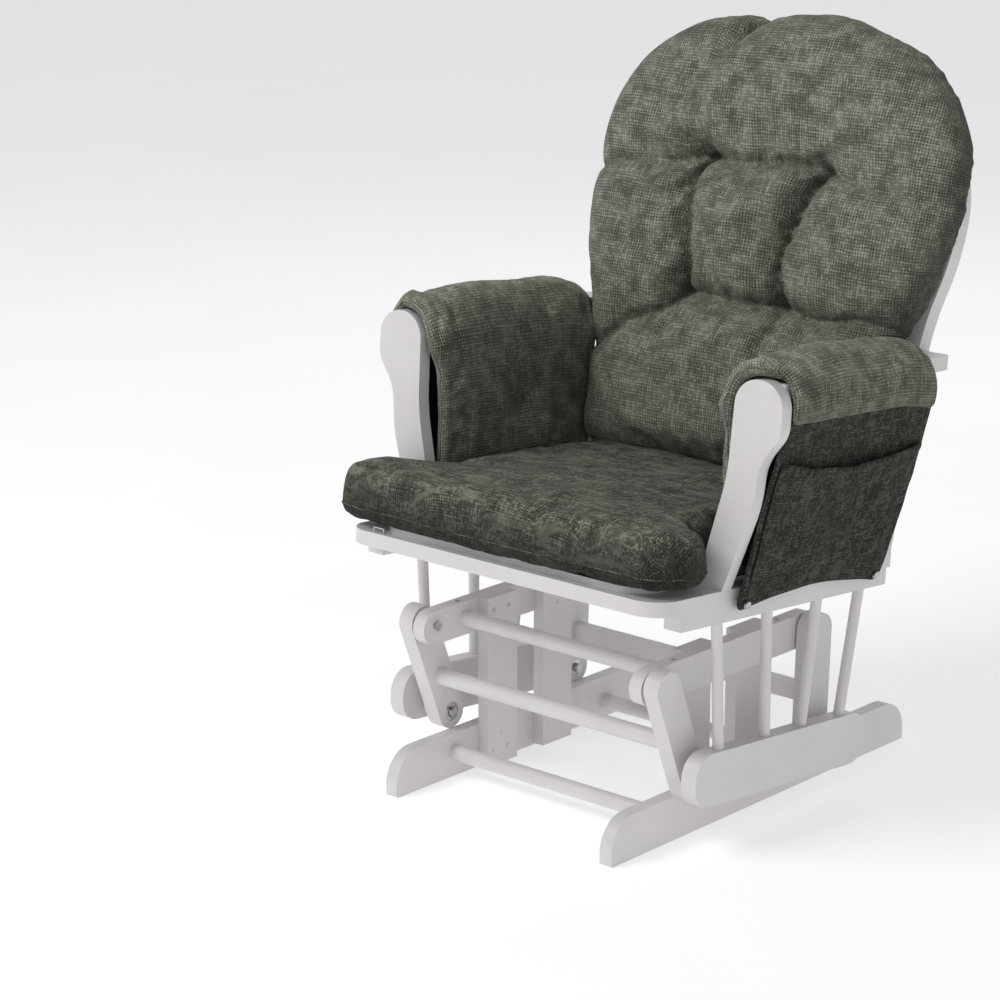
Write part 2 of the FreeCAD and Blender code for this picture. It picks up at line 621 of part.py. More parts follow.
def make_arm_pad(name, side):
    """An arm pad: a top roll, an inner panel, and an outer flap with an open pocket."""
    low, thick = size("arm_pad_low"), size("arm_pad_thick")
    inner, outer = size("arm_pad_inner"), size("arm_pad_outer")
    roll = [(inner, low, 3), (outer, low, 3), (outer, low + thick, 14), (inner, low + thick, 14)]
    keep(plate("arm_pad_top_" + name, rounded(on_side(roll, side)), "<arm_pad_rear> - <arm_pad_front>",
               face_plane(SEAT, size("arm_pad_rear"))), "arm_pad_top_" + name)
    panel = [(inner, size("panel_low"), 6), (inner + size("panel_thick"), size("panel_low"), 6),
             (inner + size("panel_thick"), low, 0), (inner, low, 0)]
    keep(plate("arm_pad_inner_" + name, rounded(on_side(panel, side)), "<panel_rear> - <panel_front>",
               face_plane(SEAT, size("panel_rear"))), "arm_pad_inner_" + name)
    bottom, thin = size("flap_low"), size("flap_thick")
    flap = [(flap_side(bottom) - thin, bottom, 2), (flap_side(bottom), bottom, 2),
            (flap_side(low), low, 0), (flap_side(low) - thin, low, 0)]
    keep(plate("arm_pad_flap_" + name, rounded(on_side(flap, side)), "<panel_rear> - <panel_front>",
               face_plane(SEAT, size("panel_rear"))), "arm_pad_flap_" + name)
    start, stop, sheet_thick = size("pocket_low"), size("pocket_high"), size("pocket_thick")
    mouth = flap_side(stop) + size("pocket_mouth")
    pocket = [(flap_side(start) + 0.3, start, 0), (flap_side(start) + 0.3 + sheet_thick, start, 0),
              (mouth + sheet_thick, stop, 0), (mouth, stop, 0)]
    keep(plate("arm_pad_pocket_" + name, rounded(on_side(pocket, side)), "<pocket_rear> - <pocket_front>",
               face_plane(SEAT, size("pocket_rear"))), "arm_pad_pocket_" + name)
    tilt = math.atan2(flap_side(low) - flap_side(bottom), low - bottom)
    normal = (side * math.cos(tilt), 0, -math.sin(tilt))
    snap_up = bottom + 12
    return [rod("snap_%s_%d" % (name, number), "<snap_radius>", "<snap_thick>",
                (side * (flap_side(snap_up) + 0.05), v, snap_up), normal, SEAT)
            for number, v in enumerate((size("panel_front") + 14, size("panel_rear") - 14))]


# ---------------------------------------------------------------- check and write

def check():
    """Stop if any object failed, or if a sub-part isn't a valid shape."""
    doc.recompute()
    for obj in doc.Objects:
        if "Invalid" in obj.State or "Error" in obj.State:
            raise RuntimeError("%s failed: %s" % (obj.Label, obj.State))
    for label, obj in nodes.items():
        shape = obj.Shape
        if shape.isNull() or not shape.isValid() or not shape.Solids:
            raise RuntimeError("%s has no valid solid" % label)


make_base()
make_front_swing()
make_rear_swing()
make_seat_frame()
make_arms()
doc.recompute()
make_back()
make_soft_parts()
check()
os.makedirs("parts", exist_ok=True)
for label, obj in nodes.items():
    obj.Shape.exportStep("parts/%s.step" % label)
print(len(nodes), "nodes written")
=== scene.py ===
"""Looks of the glider nursery chair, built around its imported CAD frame. Everything is in metres."""
import json
import math

import bpy
import numpy as np
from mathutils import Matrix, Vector, geometry


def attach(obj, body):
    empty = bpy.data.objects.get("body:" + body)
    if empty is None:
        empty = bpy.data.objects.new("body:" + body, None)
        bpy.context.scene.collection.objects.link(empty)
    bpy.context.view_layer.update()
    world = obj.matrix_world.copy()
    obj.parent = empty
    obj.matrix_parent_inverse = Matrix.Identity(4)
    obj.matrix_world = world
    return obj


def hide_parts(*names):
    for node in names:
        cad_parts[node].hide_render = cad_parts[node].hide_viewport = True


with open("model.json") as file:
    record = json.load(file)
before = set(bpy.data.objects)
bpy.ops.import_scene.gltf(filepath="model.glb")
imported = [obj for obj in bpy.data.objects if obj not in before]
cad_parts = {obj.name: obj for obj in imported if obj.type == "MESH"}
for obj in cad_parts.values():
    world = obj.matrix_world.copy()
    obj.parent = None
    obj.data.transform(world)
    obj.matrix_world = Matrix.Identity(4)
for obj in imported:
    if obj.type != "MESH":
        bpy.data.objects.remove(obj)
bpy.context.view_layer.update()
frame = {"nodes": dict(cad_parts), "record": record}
scene = bpy.context.scene
MM = 0.001


# ---------------------------------------------------------------- frames of the CAD model

SEAT_LEAN, SEAT_ORIGIN = math.radians(5.07), (-0.346, 0.3715)
BACK_LEAN, BACK_FOOT = math.radians(10.5), 0.510


def seat_place(x, v, w):
    """Across, back along the seat board and up from it, to the row frame."""
    y = SEAT_ORIGIN[0] + v * math.cos(SEAT_LEAN) + w * math.sin(SEAT_LEAN)
    z = SEAT_ORIGIN[1] - v * math.sin(SEAT_LEAN) + w * math.cos(SEAT_LEAN)
    return np.stack([x, y, z], 1)


def back_place(x, s, t):
    """Across, up along the back hoop and forward from it, to the row frame."""
    v = BACK_FOOT + s * math.sin(BACK_LEAN) - t * math.cos(BACK_LEAN)
    w = s * math.cos(BACK_LEAN) + t * math.sin(BACK_LEAN)
    return seat_place(x, v, w)


# ---------------------------------------------------------------- materials

def scaled(colour, factor):
    return tuple(factor * c for c in colour)


class Nodes:
    """Builds one material's node tree."""

    def __init__(self, name):
        self.material = bpy.data.materials.new(name)
        self.material.use_nodes = True
        self.tree = self.material.node_tree
        self.shader = self.tree.nodes["Principled BSDF"]

    def add(self, kind, inputs=None, **settings):
        node = self.tree.nodes.new(kind)
        for key, value in settings.items():
            setattr(node, key, value)
        for key, value in (inputs or {}).items():
            if isinstance(value, bpy.types.NodeSocket):
                self.tree.links.new(value, node.inputs[key])
            else:
                node.inputs[key].default_value = value
        return node

    def math(self, operation, a, b=0.0, c=None):
        inputs = {0: a, 1: b}
        if c is not None:
            inputs[2] = c
        return self.add("ShaderNodeMath", inputs, operation=operation).outputs[0]

    def vector(self, operation, inputs):
        return self.add("ShaderNodeVectorMath", inputs, operation=operation).outputs

    def between(self, value, low, high, to_low=0.0, to_high=1.0):
        inputs = {"Value": value, "From Min": low, "From Max": high, "To Min": to_low, "To Max": to_high}
        return self.add("ShaderNodeMapRange", inputs, interpolation_type="SMOOTHSTEP").outputs[0]

    def noise(self, vector, scale, detail, roughness=0.5, stretch=None):
        if stretch:
            vector = self.add("ShaderNodeMapping", {"Vector": vector, "Scale": stretch}).outputs[0]
        inputs = {"Vector": vector, "Scale": scale, "Detail": detail, "Roughness": roughness}
        return self.add("ShaderNodeTexNoise", inputs).outputs["Fac"]

    def mix(self, factor, a, b, blend="MIX"):
        node = self.tree.nodes.new("ShaderNodeMix")
        node.data_type, node.blend_type = "RGBA", blend
        for index, value in ((0, factor), (6, a), (7, b)):
            self.feed(node.inputs[index], value)
        return node.outputs[2]

    def bump(self, height, strength, distance):
        inputs = {"Height": height, "Strength": strength, "Distance": distance}
        return self.add("ShaderNodeBump", inputs).outputs[0]

    def feed(self, socket, value):
        """Link a socket, or set its value: three numbers are a colour."""
        if isinstance(value, bpy.types.NodeSocket):
            self.tree.links.new(value, socket)
        else:
            socket.default_value = (*value, 1) if isinstance(value, tuple) else value

    def finish(self, **inputs):
        """Feed the shader. A keyword is its socket's name, with _ for a space."""
        for key, value in inputs.items():
            self.feed(self.shader.inputs[key.replace("_", " ")], value)
        return self.material


def paint_material(name, colour, shade, roughness, coat):
    """Satin paint on wood: faint brushed grain, small level changes and a tone that varies at random."""
    n = Nodes(name)
    place = n.add("ShaderNodeTexCoord").outputs["Object"]
    cloud = n.noise(place, 9, 3)
    grain = n.noise(place, 60, 4, 0.6, (1, 0.12, 0.12))
    orange_peel = n.noise(place, 420, 2)
    tone = n.math("ADD", n.math("MULTIPLY", cloud, 0.7), n.math("MULTIPLY", grain, 0.3))
    base = n.mix(n.between(tone, 0.3, 0.72), shade, colour)
    height = n.math("ADD", n.math("MULTIPLY", grain, 0.7), n.math("MULTIPLY", orange_peel, 0.3))
    rough = n.between(cloud, 0.2, 0.8, roughness - 0.06, roughness + 0.08)
    return n.finish(Base_Color=base, Roughness=rough, Normal=n.bump(height, 0.12, 0.0006),
                    Coat_Weight=coat, Coat_Roughness=0.25)


def metal_material(name, colour, shade, roughness):
    """Zinc or polished steel with fine turned scratches and a dull cloud."""
    n = Nodes(name)
    place = n.add("ShaderNodeTexCoord").outputs["Object"]
    cloud = n.noise(place, 160, 3)
    lines = n.noise(place, 900, 3, 0.6, (0.1, 1, 1))
    base = n.mix(n.between(cloud, 0.3, 0.7), shade, colour)
    rough = n.between(lines, 0.2, 0.8, roughness - 0.08, roughness + 0.14)
    return n.finish(Base_Color=base, Metallic=1.0, Roughness=rough, Normal=n.bump(lines, 0.15, 0.0002))


def plastic_material(name, colour):
    """Moulded nylon, a little cloudy."""
    n = Nodes(name)
    place = n.add("ShaderNodeTexCoord").outputs["Object"]
    grain = n.noise(place, 700, 3)
    base = n.mix(n.between(n.noise(place, 40, 2), 0.3, 0.7), scaled(colour, 0.93), colour)
    return n.finish(Base_Color=base, Roughness=0.55, Normal=n.bump(grain, 0.1, 0.0002))


WEAVE_PITCH = 0.0040
THREAD_WANDER = 0.0034
SHEEN_TINT = (0.72, 0.75, 0.66)


def weave_material(name, light, mid, dark, crush, streak, lit_direction, painted_shade_span, sheen=0.14):
    """Chenille slub weave over UVs in metres. Crushed nap hides the grid in places, and streak draws it out.
    Painted shade: the colour darkens where the cloth faces away from the given light direction, standing for
    shade together with the pile's lay; the last argument is from, to and how much."""
    n = Nodes(name)
    place = n.add("ShaderNodeTexCoord").outputs
    uv = place["UV"]
    wander = n.add("ShaderNodeTexNoise", {"Vector": uv, "Scale": 38.0, "Detail": 2.0}).outputs["Color"]
    bent = n.vector("SUBTRACT", {0: wander, 1: (0.5, 0.5, 0.5)})[0]
    bent = n.vector("SCALE", {0: bent, 3: THREAD_WANDER})[0]
    bent = n.vector("ADD", {0: uv, 1: bent})[0]
    split = n.add("ShaderNodeSeparateXYZ", {0: bent})
    turn = 2 * math.pi / WEAVE_PITCH
    across = n.math("COSINE", n.math("MULTIPLY", split.outputs[0], turn))
    along = n.math("COSINE", n.math("MULTIPLY", split.outputs[1], turn))
    pits = n.math("MULTIPLY_ADD", n.math("ADD", across, along), 0.25, 0.5)
    knot = n.vector("SCALE", {0: bent, 3: 1 / WEAVE_PITCH})[0]
    knot = n.vector("FLOOR", {0: knot})[0]
    knot = n.add("ShaderNodeTexWhiteNoise", {"Vector": knot}).outputs["Value"]
    warp = n.noise(bent, 1.0, 2, 0.6, (1 / 0.0036, 1 / 0.034, 1))
    weft = n.noise(bent, 1.0, 2, 0.6, (1 / 0.044, 1 / 0.0034, 1))
    fibre = n.noise(uv, 1300, 2, 0.7)
    patch = n.noise(uv, 34, 3, 0.6)
    nap = n.noise(uv, 9, 3, 0.6)
    drawn = n.noise(uv, 1.0, 5, 0.66, streak)
    flat = n.between(n.math("ADD", n.math("MULTIPLY", nap, 0.5), n.math("MULTIPLY", drawn, 0.5)),
                     0.60 - crush, 0.72 - crush)
    pit_depth = n.math("MULTIPLY", n.between(pits, 0.50, 0.80), n.between(patch, 0.34, 0.56, 0.5, 1.0))
    pit_depth = n.math("MULTIPLY", pit_depth, n.between(knot, 0.0, 0.7, 0.45, 1.0))
    pit_depth = n.math("MULTIPLY", pit_depth, n.math("SUBTRACT", 1.0, n.math("MULTIPLY", flat, 0.7)))
    threads = n.math("ADD", n.math("MULTIPLY", warp, 0.5), n.math("MULTIPLY", weft, 0.5))
    tone = n.math("ADD", n.math("MULTIPLY", threads, 0.70), n.math("MULTIPLY", fibre, 0.14))
    tone = n.math("MULTIPLY_ADD", knot, 0.16, tone)
    base = n.mix(n.between(tone, 0.42, 0.60), mid, light)
    base = n.mix(n.between(patch, 0.42, 0.70, 0.0, 0.45), base, dark)
    base = n.mix(pit_depth, base, dark)
    sunk = n.mix(n.between(drawn, 0.43, 0.60), dark, light)
    sunk = n.mix(n.between(fibre, 0.35, 0.65, 0.0, 0.35), sunk, dark)
    base = n.mix(n.math("MULTIPLY", flat, 0.62), base, sunk)
    # painted shade: the weave turns towards a dark colour where the normal faces away from the light
    # direction
    turned = n.vector("DOT_PRODUCT", {0: place["Normal"], 1: lit_direction})["Value"]
    low, high, most = painted_shade_span
    base = n.mix(n.between(turned, low, high, most, 0.0), base, scaled(dark, 0.35))
    height = n.math("SUBTRACT", n.math("ADD", threads, n.math("MULTIPLY", knot, 0.25)), pit_depth)
    return n.finish(Base_Color=base, Roughness=0.94, Normal=n.bump(height, 0.9, 0.0013),
                    Sheen_Weight=sheen, Sheen_Roughness=0.55, Sheen_Tint=SHEEN_TINT, Specular_IOR_Level=0.1)


def lining_material():
    """Black spun lining on the hidden side of the arm pads."""
    n = Nodes("black_lining")
    uv = n.add("ShaderNodeTexCoord").outputs["UV"]
    dots = n.add("ShaderNodeTexVoronoi", {"Vector": uv, "Scale": 420.0}).outputs["Distance"]
    felt = n.noise(uv, 900, 3, 0.7)
    base = n.mix(n.between(felt, 0.3, 0.7), (0.008, 0.009, 0.010), (0.022, 0.024, 0.026))
    return n.finish(Base_Color=base, Roughness=0.85, Normal=n.bump(n.math("ADD", dots, felt), 0.4, 0.0004),
                    Sheen_Weight=0.1, Specular_IOR_Level=0.25)


WOOD = paint_material("white_satin_paint", (0.70, 0.677, 0.676), (0.655, 0.628, 0.627), 0.42, 0.12)
DECK = paint_material("glossy_deck_paint", (0.66, 0.65, 0.64), (0.60, 0.59, 0.58), 0.22, 0.5)
ZINC = metal_material("zinc_plate", (0.62, 0.62, 0.60), (0.42, 0.42, 0.40), 0.34)
BEARING = metal_material("bearing_steel", (0.70, 0.70, 0.70), (0.50, 0.50, 0.50), 0.22)
NYLON = plastic_material("white_nylon", (0.80, 0.79, 0.77))
LIGHT, MIDDLE, DARK = (0.345, 0.360, 0.295), (0.168, 0.175, 0.141), (0.030, 0.032, 0.025)
# Each weave below paints shade where its cloth faces away from its light direction.
FABRIC = weave_material("chenille_weave", scaled(LIGHT, 0.94), MIDDLE, DARK, crush=0.0, streak=(30, 90, 1),
                        lit_direction=(-0.55, -0.55, 0.63), painted_shade_span=(-0.5, 0.45, 0.68))
# Painted light: the sleeve is a lighter copy of the same weave, for the arm pads' lit tops.
LIT_SLEEVE = weave_material("chenille_sleeve_painted_light", scaled(LIGHT, 1.26), scaled(MIDDLE, 1.36), DARK, crush=0.02,
                        streak=(30, 60, 1), lit_direction=(-0.45, -0.2, 0.87), painted_shade_span=(-0.6, 0.8, 0.50))
# Painted shade: the seat's weave is a darker copy of the same fabric, with its nap crushed in patches.
CRUSHED_SHADED = weave_material("chenille_crushed_painted_shade", scaled(LIGHT, 0.84), scaled(MIDDLE, 0.52), scaled(DARK, 0.5),
                         crush=0.12, streak=(16, 46, 1), lit_direction=(0, -0.1, 1), painted_shade_span=(-0.1, 0.9, 0.85),
                         sheen=0.08)
# Painted shade: the outer flaps and pockets get a much darker copy of the same weave, for the shade on that
# side together with its brushed-down pile.
BRUSHED_SHADED = weave_material("chenille_brushed_down_painted_shade", scaled(LIGHT, 0.27), scaled(MIDDLE, 0.155),
                         scaled(DARK, 0.35), crush=0.10, streak=(26, 60, 1), lit_direction=(0.8, 0, 0.6),
                         painted_shade_span=(-0.75, 0.5, 0.2), sheen=0.04)
LINING = lining_material()

SLOT_MATERIALS = {"white_paint": WOOD, "zinc_steel": ZINC, "bearing_steel": BEARING, "spacer": NYLON,
                  "deck": DECK, "fabric": FABRIC}
ROUND_WOOD = ("front_arm_dowel", "spindles_left", "spindles_right")
EASED_EDGE = 0.0022


def dress_frame():
    """Give every CAD node its finish, and soften the sharp edges of the wooden parts."""
    slots = {s["node"]: s["material_slot"] for s in frame["record"]["subparts"]}
    for name, obj in frame["nodes"].items():
        obj.data.materials.clear()
        obj.data.materials.append(SLOT_MATERIALS[slots[name]])
        if slots[name] == "white_paint" and name not in ROUND_WOOD:
            bevel = obj.modifiers.new("eased_edges", "BEVEL")
            bevel.width = EASED_EDGE
            bevel.segments = 3
            bevel.limit_method = "ANGLE"
            bevel.angle_limit = math.radians(50)
            bevel.use_clamp_overlap = True


# ---------------------------------------------------------------- pillows: two panels sewn along an outline

def resample(points, step, closed=True):
    """Points spaced evenly along a line."""
    ends = np.vstack([points, points[:1]]) if closed else points
    run = np.concatenate([[0], np.cumsum(np.linalg.norm(np.diff(ends, axis=0), axis=1))])
    count = max(8, int(round(run[-1] / step)))
    where = np.linspace(0, run[-1], count + (0 if closed else 1), endpoint=not closed)
    return np.stack([np.interp(where, run, ends[:, k]) for k in range(ends.shape[1])], 1)


def catmull_rom(p, count):
    """Points along the spans between the inner points of a list, count to a span."""
    t = np.linspace(0, 1, count, endpoint=False)[:, None]
    spans = []
    for a, b, c, d in zip(p, p[1:], p[2:], p[3:]):
        spans.append(0.5 * (2 * b + (c - a) * t + (2 * a - 5 * b + 4 * c - d) * t ** 2
                            + (3 * b - a - 3 * c + d) * t ** 3))
    return np.vstack(spans)


def smooth_loop(points, step):
    """A closed curve through the points, evenly divided."""
    p = np.array(points, float)
    return resample(catmull_rom(np.vstack([p[-1:], p, p[:2]]), 24), step)


def smooth_run(points):
    """An open curve through the points, any number of values each."""
    p = np.array(points, float)
    extended = np.vstack([2 * p[0] - p[1], p, 2 * p[-1] - p[-2]])
    return np.vstack([catmull_rom(extended, 16), p[-1:]])


def rounded_box(a0, a1, b0, b1, radius, step):
    """A rectangle with round corners."""
    corners = []
    for ca, cb, start in ((a1 - radius, b1 - radius, 0), (a0 + radius, b1 - radius, 90),
                          (a0 + radius, b0 + radius, 180), (a1 - radius, b0 + radius, 270)):
        for angle in np.radians(np.linspace(start, start + 90, 7)):
            corners.append((ca + radius * math.cos(angle), cb + radius * math.sin(angle)))
    return resample(np.array(corners), step)


def distance_to(points, line, closed=True):
    """Distance from each point to a line of points, and how far along it the nearest place is (0 to 1)."""
    a = line[:, :2]
    b = np.roll(a, -1, 0) if closed else a[1:]
    a = a if closed else a[:-1]
    best = np.full(len(points), 1e9)
    along = np.zeros(len(points))
    for i, (p, q) in enumerate(zip(a, b)):
        d = q - p
        f = np.clip(((points - p) @ d) / max(d @ d, 1e-12), 0, 1)
        gap = np.linalg.norm(points - p - f[:, None] * d, axis=1)
        near = gap < best
        best[near] = gap[near]
        along[near] = ((i + f) / len(a))[near]
    return best, along


def inside(points, outline):
    """Which points lie inside a closed outline."""
    result = np.zeros(len(points), bool)
    for p, q in zip(outline, np.roll(outline, -1, 0)):
        crosses = (p[1] > points[:, 1]) != (q[1] > points[:, 1])
        with np.errstate(divide="ignore", invalid="ignore"):
            at = (q[0] - p[0]) * (points[:, 1] - p[1]) / (q[1] - p[1]) + p[0]
        result ^= crosses & (points[:, 0] < at)
    return result


def dome(distance, reach):
    """Height share of a rounded edge: 0 at the seam, 1 from reach inwards."""
    q = 1 - np.clip(distance / reach, 0, 1)
    return np.sqrt(np.clip(1 - q * q, 0, 1))


def boxed(distance, reach):
    """As dome, with a squarer shoulder."""
    q = 1 - np.clip(distance / reach, 0, 1)
    return np.clip(1 - q ** 3, 0, 1) ** (1 / 3)


def groove(distance, reach):
    """Depth share of a sewn crease between two rounded humps."""
    return 1 - dome(distance, reach)


PIN_STEP = 0.25
CLOTH_FRAMES = 20
RELAX_ROUNDS = 400
WELT_SIDES, WELT_SINK, WELT_STITCH = 6, 0.9, 0.006
MIRROR_SHIFT = 0.37


class Pillow:
    """A closed form of two panels over one flat outline. The upper panel's height is over(flat, gap) and the
    lower one's is under(flat, gap); place(flat, height) puts them in the row frame."""

    def __init__(self, outline, step, over, under, place):
        low, high = outline.min(0), outline.max(0)
        rows = np.arange(low[1], high[1], step * 0.866)
        lattice = np.array([(a + (step / 2 if k % 2 else 0), b) for k, b in enumerate(rows)
                            for a in np.arange(low[0], high[0] + step, step)])
        lattice = lattice[inside(lattice, outline)]
        gap, _ = distance_to(lattice, outline)
        lattice = lattice[gap > 0.62 * step]
        count, rim = len(lattice), len(outline)
        flat = np.vstack([lattice, outline])
        edges = [(count + i, count + (i + 1) % rim) for i in range(rim)]
        found = geometry.delaunay_2d_cdt([Vector(p) for p in flat], edges, [], 1, 1e-7)
        assert len(found[0]) == len(flat)
        faces = np.array(found[2])
        where = np.array([v[:] for v in found[0]])
        order = np.array([o[0] for o in found[3]])
        self.rim = order >= count
        self.flat, self.faces = where, faces
        p, q, r = (where[faces[:, k]] for k in range(3))
        turned = (q[:, 0] - p[:, 0]) * (r[:, 1] - p[:, 1]) - (q[:, 1] - p[:, 1]) * (r[:, 0] - p[:, 0]) < 0
        faces[turned] = faces[turned][:, ::-1]
        gap, _ = distance_to(where, outline)
        gap[self.rim] = 0
        inner = np.flatnonzero(~self.rim)
        self.twin = np.arange(len(where))
        self.twin[inner] = len(where) + np.arange(len(inner))
        flat_all = np.vstack([where, where[inner]])
        gap_all = np.concatenate([gap, gap[inner]])
        upper = np.arange(len(flat_all)) < len(where)
        height = np.where(upper, over(flat_all, gap_all), under(flat_all, gap_all))
        self.flat_all, self.upper, self.gap_all = flat_all, upper, gap_all
        self.points = place(flat_all, height)
        self.polygons = np.vstack([faces, self.twin[faces][:, ::-1]])
        self.uv = None

    def normals(self):
        """Each point's normal, by the area of the faces round it."""
        p, q, r = (self.points[self.polygons[:, k]] for k in range(3))
        face = np.cross(q - p, r - p)
        total = np.zeros_like(self.points)
        for k in range(3):
            np.add.at(total, self.polygons[:, k], face)
        return total / np.maximum(np.linalg.norm(total, axis=1), 1e-12)[:, None]

    def inflate(self, pressure, cap, pins, slack):
        """Let the fabric swell as cloth around its pinned places, no point moving further than the cap."""
        mesh = bpy.data.meshes.new("cloth")
        mesh.from_pydata(self.points.tolist(), [], self.polygons.tolist())
        obj = bpy.data.objects.new("cloth", mesh)
        scene.collection.objects.link(obj)
        group = obj.vertex_groups.new(name="pin")
        for weight in (PIN_STEP, 2 * PIN_STEP, 3 * PIN_STEP, 1.0):
            chosen = np.flatnonzero((pins > weight - PIN_STEP / 2) & (pins <= weight + PIN_STEP / 2))
            group.add(chosen.tolist(), weight, "REPLACE")
        cloth = obj.modifiers.new("cloth", "CLOTH")
        settings = cloth.settings
        settings.quality = 6
        settings.mass = 0.25
        settings.air_damping = 3
        settings.tension_stiffness = settings.compression_stiffness = 20
        settings.shear_stiffness = 8
        settings.bending_stiffness = 0.4
        settings.use_pressure = True
        settings.uniform_pressure_force = pressure
        settings.shrink_min = -slack
        settings.vertex_group_mass = "pin"
        settings.effector_weights.gravity = 0
        cloth.collision_settings.use_collision = False
        cloth.point_cache.frame_start, cloth.point_cache.frame_end = 1, CLOTH_FRAMES
        for number in range(1, CLOTH_FRAMES + 1):
            scene.frame_set(number)
        shown = obj.evaluated_get(bpy.context.evaluated_depsgraph_get())
        moved = np.array([v.co[:] for v in shown.data.vertices]) - self.points
        length = np.maximum(np.linalg.norm(moved, axis=1), 1e-9)
        self.points = self.points + moved * np.minimum(1, cap / length)[:, None]
        bpy.data.objects.remove(obj)
        scene.frame_set(1)

    def smooth(self, rounds, keep):
        """Even out the fabric a little, except where keep is 1."""
        pairs = np.vstack([self.polygons[:, [0, 1]], self.polygons[:, [1, 2]], self.polygons[:, [2, 0]]])
        for _ in range(rounds):
            total = np.zeros_like(self.points)
            count = np.zeros(len(self.points))
            np.add.at(total, pairs[:, 0], self.points[pairs[:, 1]])
            np.add.at(count, pairs[:, 0], 1)
            self.points += (total / count[:, None] - self.points) * (0.5 * (1 - keep))[:, None]

    def flat_map(self, faces):
        """UVs in metres: the flat outline relaxed until its edges are as long as the fabric's."""
        spots, local = np.unique(faces, return_inverse=True)
        local = local.reshape(faces.shape)
        pairs = np.vstack([local[:, [0, 1]], local[:, [1, 2]], local[:, [2, 0]]])
        lengths = np.linalg.norm(self.points[spots][pairs[:, 0]] - self.points[spots][pairs[:, 1]], axis=1)
        uv = self.flat_all[spots].copy()
        share = np.bincount(pairs.ravel(), minlength=len(spots))[:, None]
        for _ in range(RELAX_ROUNDS):
            d = uv[pairs[:, 1]] - uv[pairs[:, 0]]
            size = np.maximum(np.linalg.norm(d, axis=1), 1e-9)
            push = d * ((size - lengths) / size * 0.5)[:, None]
            step = np.zeros_like(uv)
            for k in range(2):
                step[:, k] += np.bincount(pairs[:, 0], push[:, k], len(spots))
                step[:, k] -= np.bincount(pairs[:, 1], push[:, k], len(spots))
            uv += 1.6 * step / share
        result = np.zeros((len(self.points), 2))
        result[spots] = uv
        return result[faces]

    def welt(self, radius):
        """The sewn edge: a thin tube round the seam, and its place on the flat fabric."""
        rim = np.flatnonzero(self.rim)
        angle = np.arctan2(*(self.flat[rim] - self.flat[rim].mean(0)).T[::-1])
        links = {}
        border = self.faces[:, [0, 1, 2, 0]]
        for k in range(3):
            for i, j in border[:, [k, k + 1]]:
                if self.rim[i] and self.rim[j]:
                    links[i] = j
        ring = [rim[np.argmin(angle)]]
        while links[ring[-1]] != ring[0]:
            ring.append(links[ring[-1]])
        ring = np.array(ring)
        centre = self.points[ring]
        tangent = np.roll(centre, -1, 0) - np.roll(centre, 1, 0)
        tangent /= np.linalg.norm(tangent, axis=1)[:, None]
        out = self.normals()[ring]
        out -= tangent * (out * tangent).sum(1)[:, None]
        out /= np.linalg.norm(out, axis=1)[:, None]
        side = np.cross(tangent, out)
        run = np.cumsum(np.linalg.norm(np.diff(centre, axis=0, append=centre[:1]), axis=1))
        points, uv = [], []
        for k in range(WELT_SIDES):
            turn = 2 * math.pi * k / WELT_SIDES
            spoke = radius * (math.cos(turn) * out + math.sin(turn) * side)
            points.append(centre + spoke - out * radius * WELT_SINK)
            uv.append(np.stack([run, np.full(len(ring), k * radius)], 1))
        count = len(ring)
        quads, corners = [], []
        steps = ((0, 0), (WELT_STITCH, 0), (WELT_STITCH, radius), (0, radius))
        for k in range(WELT_SIDES):
            after = (k + 1) % WELT_SIDES
            for i in range(count):
                j = (i + 1) % count
                quads.append((k * count + i, k * count + j, after * count + j, after * count + i))
                corners.append([uv[k][i] + step for step in steps])
        return np.vstack(points), np.array(quads)[:, ::-1], np.array(corners)[:, ::-1]

    def build(self, name, materials, mirror=False, welt=0.0, rim=0.0):
        """The finished mesh. The last material is the lower panel's, except within rim of the edge."""
        half = len(self.faces)
        if self.uv is None:
            self.uv = np.vstack([self.flat_map(self.polygons[:half]), self.flat_map(self.polygons[half:])])
        uv = self.uv.reshape(-1, 2)
        points, polygons = self.points, self.polygons.tolist()
        lined = (self.gap_all[self.polygons].max(1) > rim) & (np.arange(2 * half) >= half)
        slots = np.where(lined, len(materials) - 1, 0).tolist()
        if welt:
            ring, quads, corners = self.welt(welt)
            polygons += (quads + len(points)).tolist()
            slots += [0] * len(quads)
            points, uv = np.vstack([points, ring]), np.vstack([uv, corners.reshape(-1, 2)])
        if mirror:
            points = points * (-1, 1, 1)
            sizes = [len(p) for p in polygons]
            ends = np.cumsum(sizes)
            uv = np.vstack([uv[e - n:e][::-1] for e, n in zip(ends, sizes)]) + MIRROR_SHIFT
            polygons = [p[::-1] for p in polygons]
        mesh = bpy.data.meshes.new(name)
        mesh.from_pydata(points.tolist(), [], polygons)
        mesh.uv_layers.new(name="fabric").data.foreach_set("uv", uv.reshape(-1).astype(np.float32))
        for material in materials:
            mesh.materials.append(material)
        mesh.polygons.foreach_set("material_index", np.array(slots, np.int32))
        mesh.polygons.foreach_set("use_smooth", np.ones(len(polygons), bool))
        mesh.update()
        obj = bpy.data.objects.new(name, mesh)
        scene.collection.objects.link(obj)
        subdivision = obj.modifiers.new("subdivision", "SUBSURF")
        subdivision.levels = subdivision.render_levels = 1
        subdivision.quality = 1  # the same surface as with the default of 3, in less time and memory
        return obj


